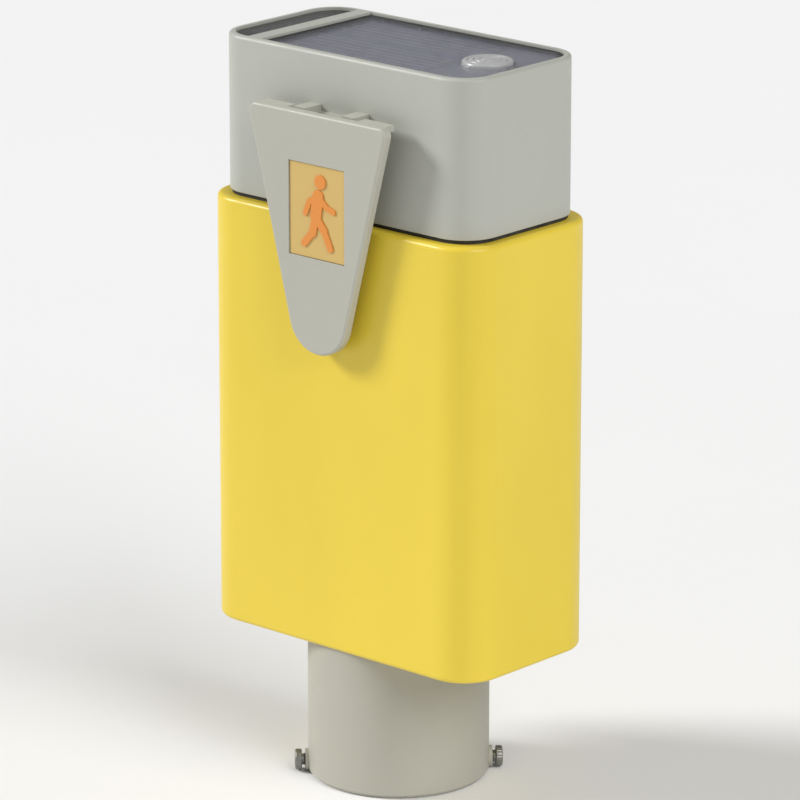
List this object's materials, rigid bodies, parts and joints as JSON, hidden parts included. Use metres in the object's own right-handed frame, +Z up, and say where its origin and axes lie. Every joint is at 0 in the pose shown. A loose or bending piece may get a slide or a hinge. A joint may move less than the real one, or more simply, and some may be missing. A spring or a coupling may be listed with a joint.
{
  "type": "pedestrian crossing push unit",
  "caption": "Post-top push unit of a pedestrian light: yellow housing, grey cap with solar panel, hinged press paddle with walking figure, tube socket.",
  "frame": {"origin": "centre of the base tube's open mouth, where the post enters", "axes": "+Z up along the post towards the cap, -Y out of the front face that carries the paddle, X along the long side of the housing"},
  "size_m": [0.136, 0.0826, 0.2885],
  "materials": {
    "tube_grey": "fine moulded texture",
    "housing_yellow": "semi-gloss moulded, sun-safe yellow",
    "cap_grey": "fine moulded texture",
    "paddle_grey": "fine moulded texture",
    "badge_amber": "satin sheeting",
    "figure_orange": "satin",
    "seal_rubber": "matt",
    "stainless": "brushed",
    "zinc": "zinc plated",
    "clamp_zinc": "blackened socket, worn zinc",
    "brass": "turned brass",
    "dark_plastic": "glass-filled nylon",
    "panel_dark": "laminate",
    "solar_cell": "silicon with fine grid lines",
    "cover_glass": "clear, slightly textured",
    "smoked_window": "smoked polycarbonate",
    "lens_white": "diffusing polycarbonate",
    "diode_clear": "clear epoxy",
    "board_green": "solder mask",
    "component_black": "moulded epoxy",
    "button_red": "moulded",
    "battery_blue": "shrink sleeve"
  },
  "bodies": {
    "enclosure": {"antenna": "dark_plastic", "base_tube": "tube_grey", "battery_cells": "battery_blue", "battery_clamp": "dark_plastic", "battery_nuts": "zinc", "battery_rods": "zinc", "battery_tray": "dark_plastic", "board_parts": "component_black", "board_pillars": "brass", "board_screws": "stainless", "bracket_nuts": "stainless", "bracket_screws": "stainless", "bush_nut": "dark_plastic", "cap": "cap_grey", "cap_inserts": "brass", "cap_screws": "stainless", "cap_seal": "seal_rubber", "circuit_board": "board_green", "flange_gasket": "seal_rubber", "flange_screws": "stainless", "flange_washers": "stainless", "hinge_bracket": "paddle_grey", "hinge_pin": "stainless", "housing": "housing_yellow", "lens_board": "board_green", "limit_switch": "dark_plastic", "panel_gasket": "seal_rubber", "pin_clips": "stainless", "plunger_boot": "seal_rubber", "plunger_bush": "dark_plastic", "return_spring": "stainless", "signal_diodes": "diode_clear", "solar_backplate": "panel_dark", "solar_cells": "solar_cell", "solar_glass": "cover_glass", "sounder": "component_black", "status_lens": "lens_white", "strip_board": "board_green", "switch_pillars": "zinc", "switch_plate": "zinc", "switch_screws": "stainless", "tube_plate": "zinc", "tube_screws": "stainless", "vent_plug": "dark_plastic", "window_strip": "smoked_window"},
    "paddle": {"paddle": "paddle_grey", "badge_plate": "badge_amber", "walking_figure": "figure_orange"},
    "plunger": {"plunger": "dark_plastic"},
    "switch_button": {"switch_button": "button_red"},
    "clamp_screw_left": {"clamp_screw_left": "clamp_zinc"},
    "clamp_screw_right": {"clamp_screw_right": "clamp_zinc"}
  },
  "joints": [
    {"name": "paddle_press", "type": "hinge", "parent": "enclosure", "child": "paddle", "pos_m": [0, -0.0386, 0.2595], "axis": [1, 0, 0], "range_deg": [0, 2.3], "stiffness_Nm_per_rad": 6, "springref_deg": -1.43},
    {"name": "plunger_slide", "type": "slide", "parent": "enclosure", "child": "plunger", "axis": [0, 1, 0], "range_m": [0, 0.0022], "deforming": ["return_spring", "plunger_boot"]},
    {"name": "button_slide", "type": "slide", "parent": "enclosure", "child": "switch_button", "axis": [0, 1, 0], "range_m": [0, 0.0022]},
    {"name": "clamp_left", "type": "slide", "parent": "enclosure", "child": "clamp_screw_left", "axis": [0.7071, 0.7071, 0], "range_m": [0, 0.0014]},
    {"name": "clamp_right", "type": "slide", "parent": "enclosure", "child": "clamp_screw_right", "axis": [-0.7071, -0.7071, 0], "range_m": [0, 0.0014]}
  ],
  "couplings": [
    {"joint": "plunger_slide", "follows": "paddle_press", "m_per_rad": 0.0545},
    {"joint": "button_slide", "follows": "paddle_press", "m_per_rad": 0.0545}
  ]
}
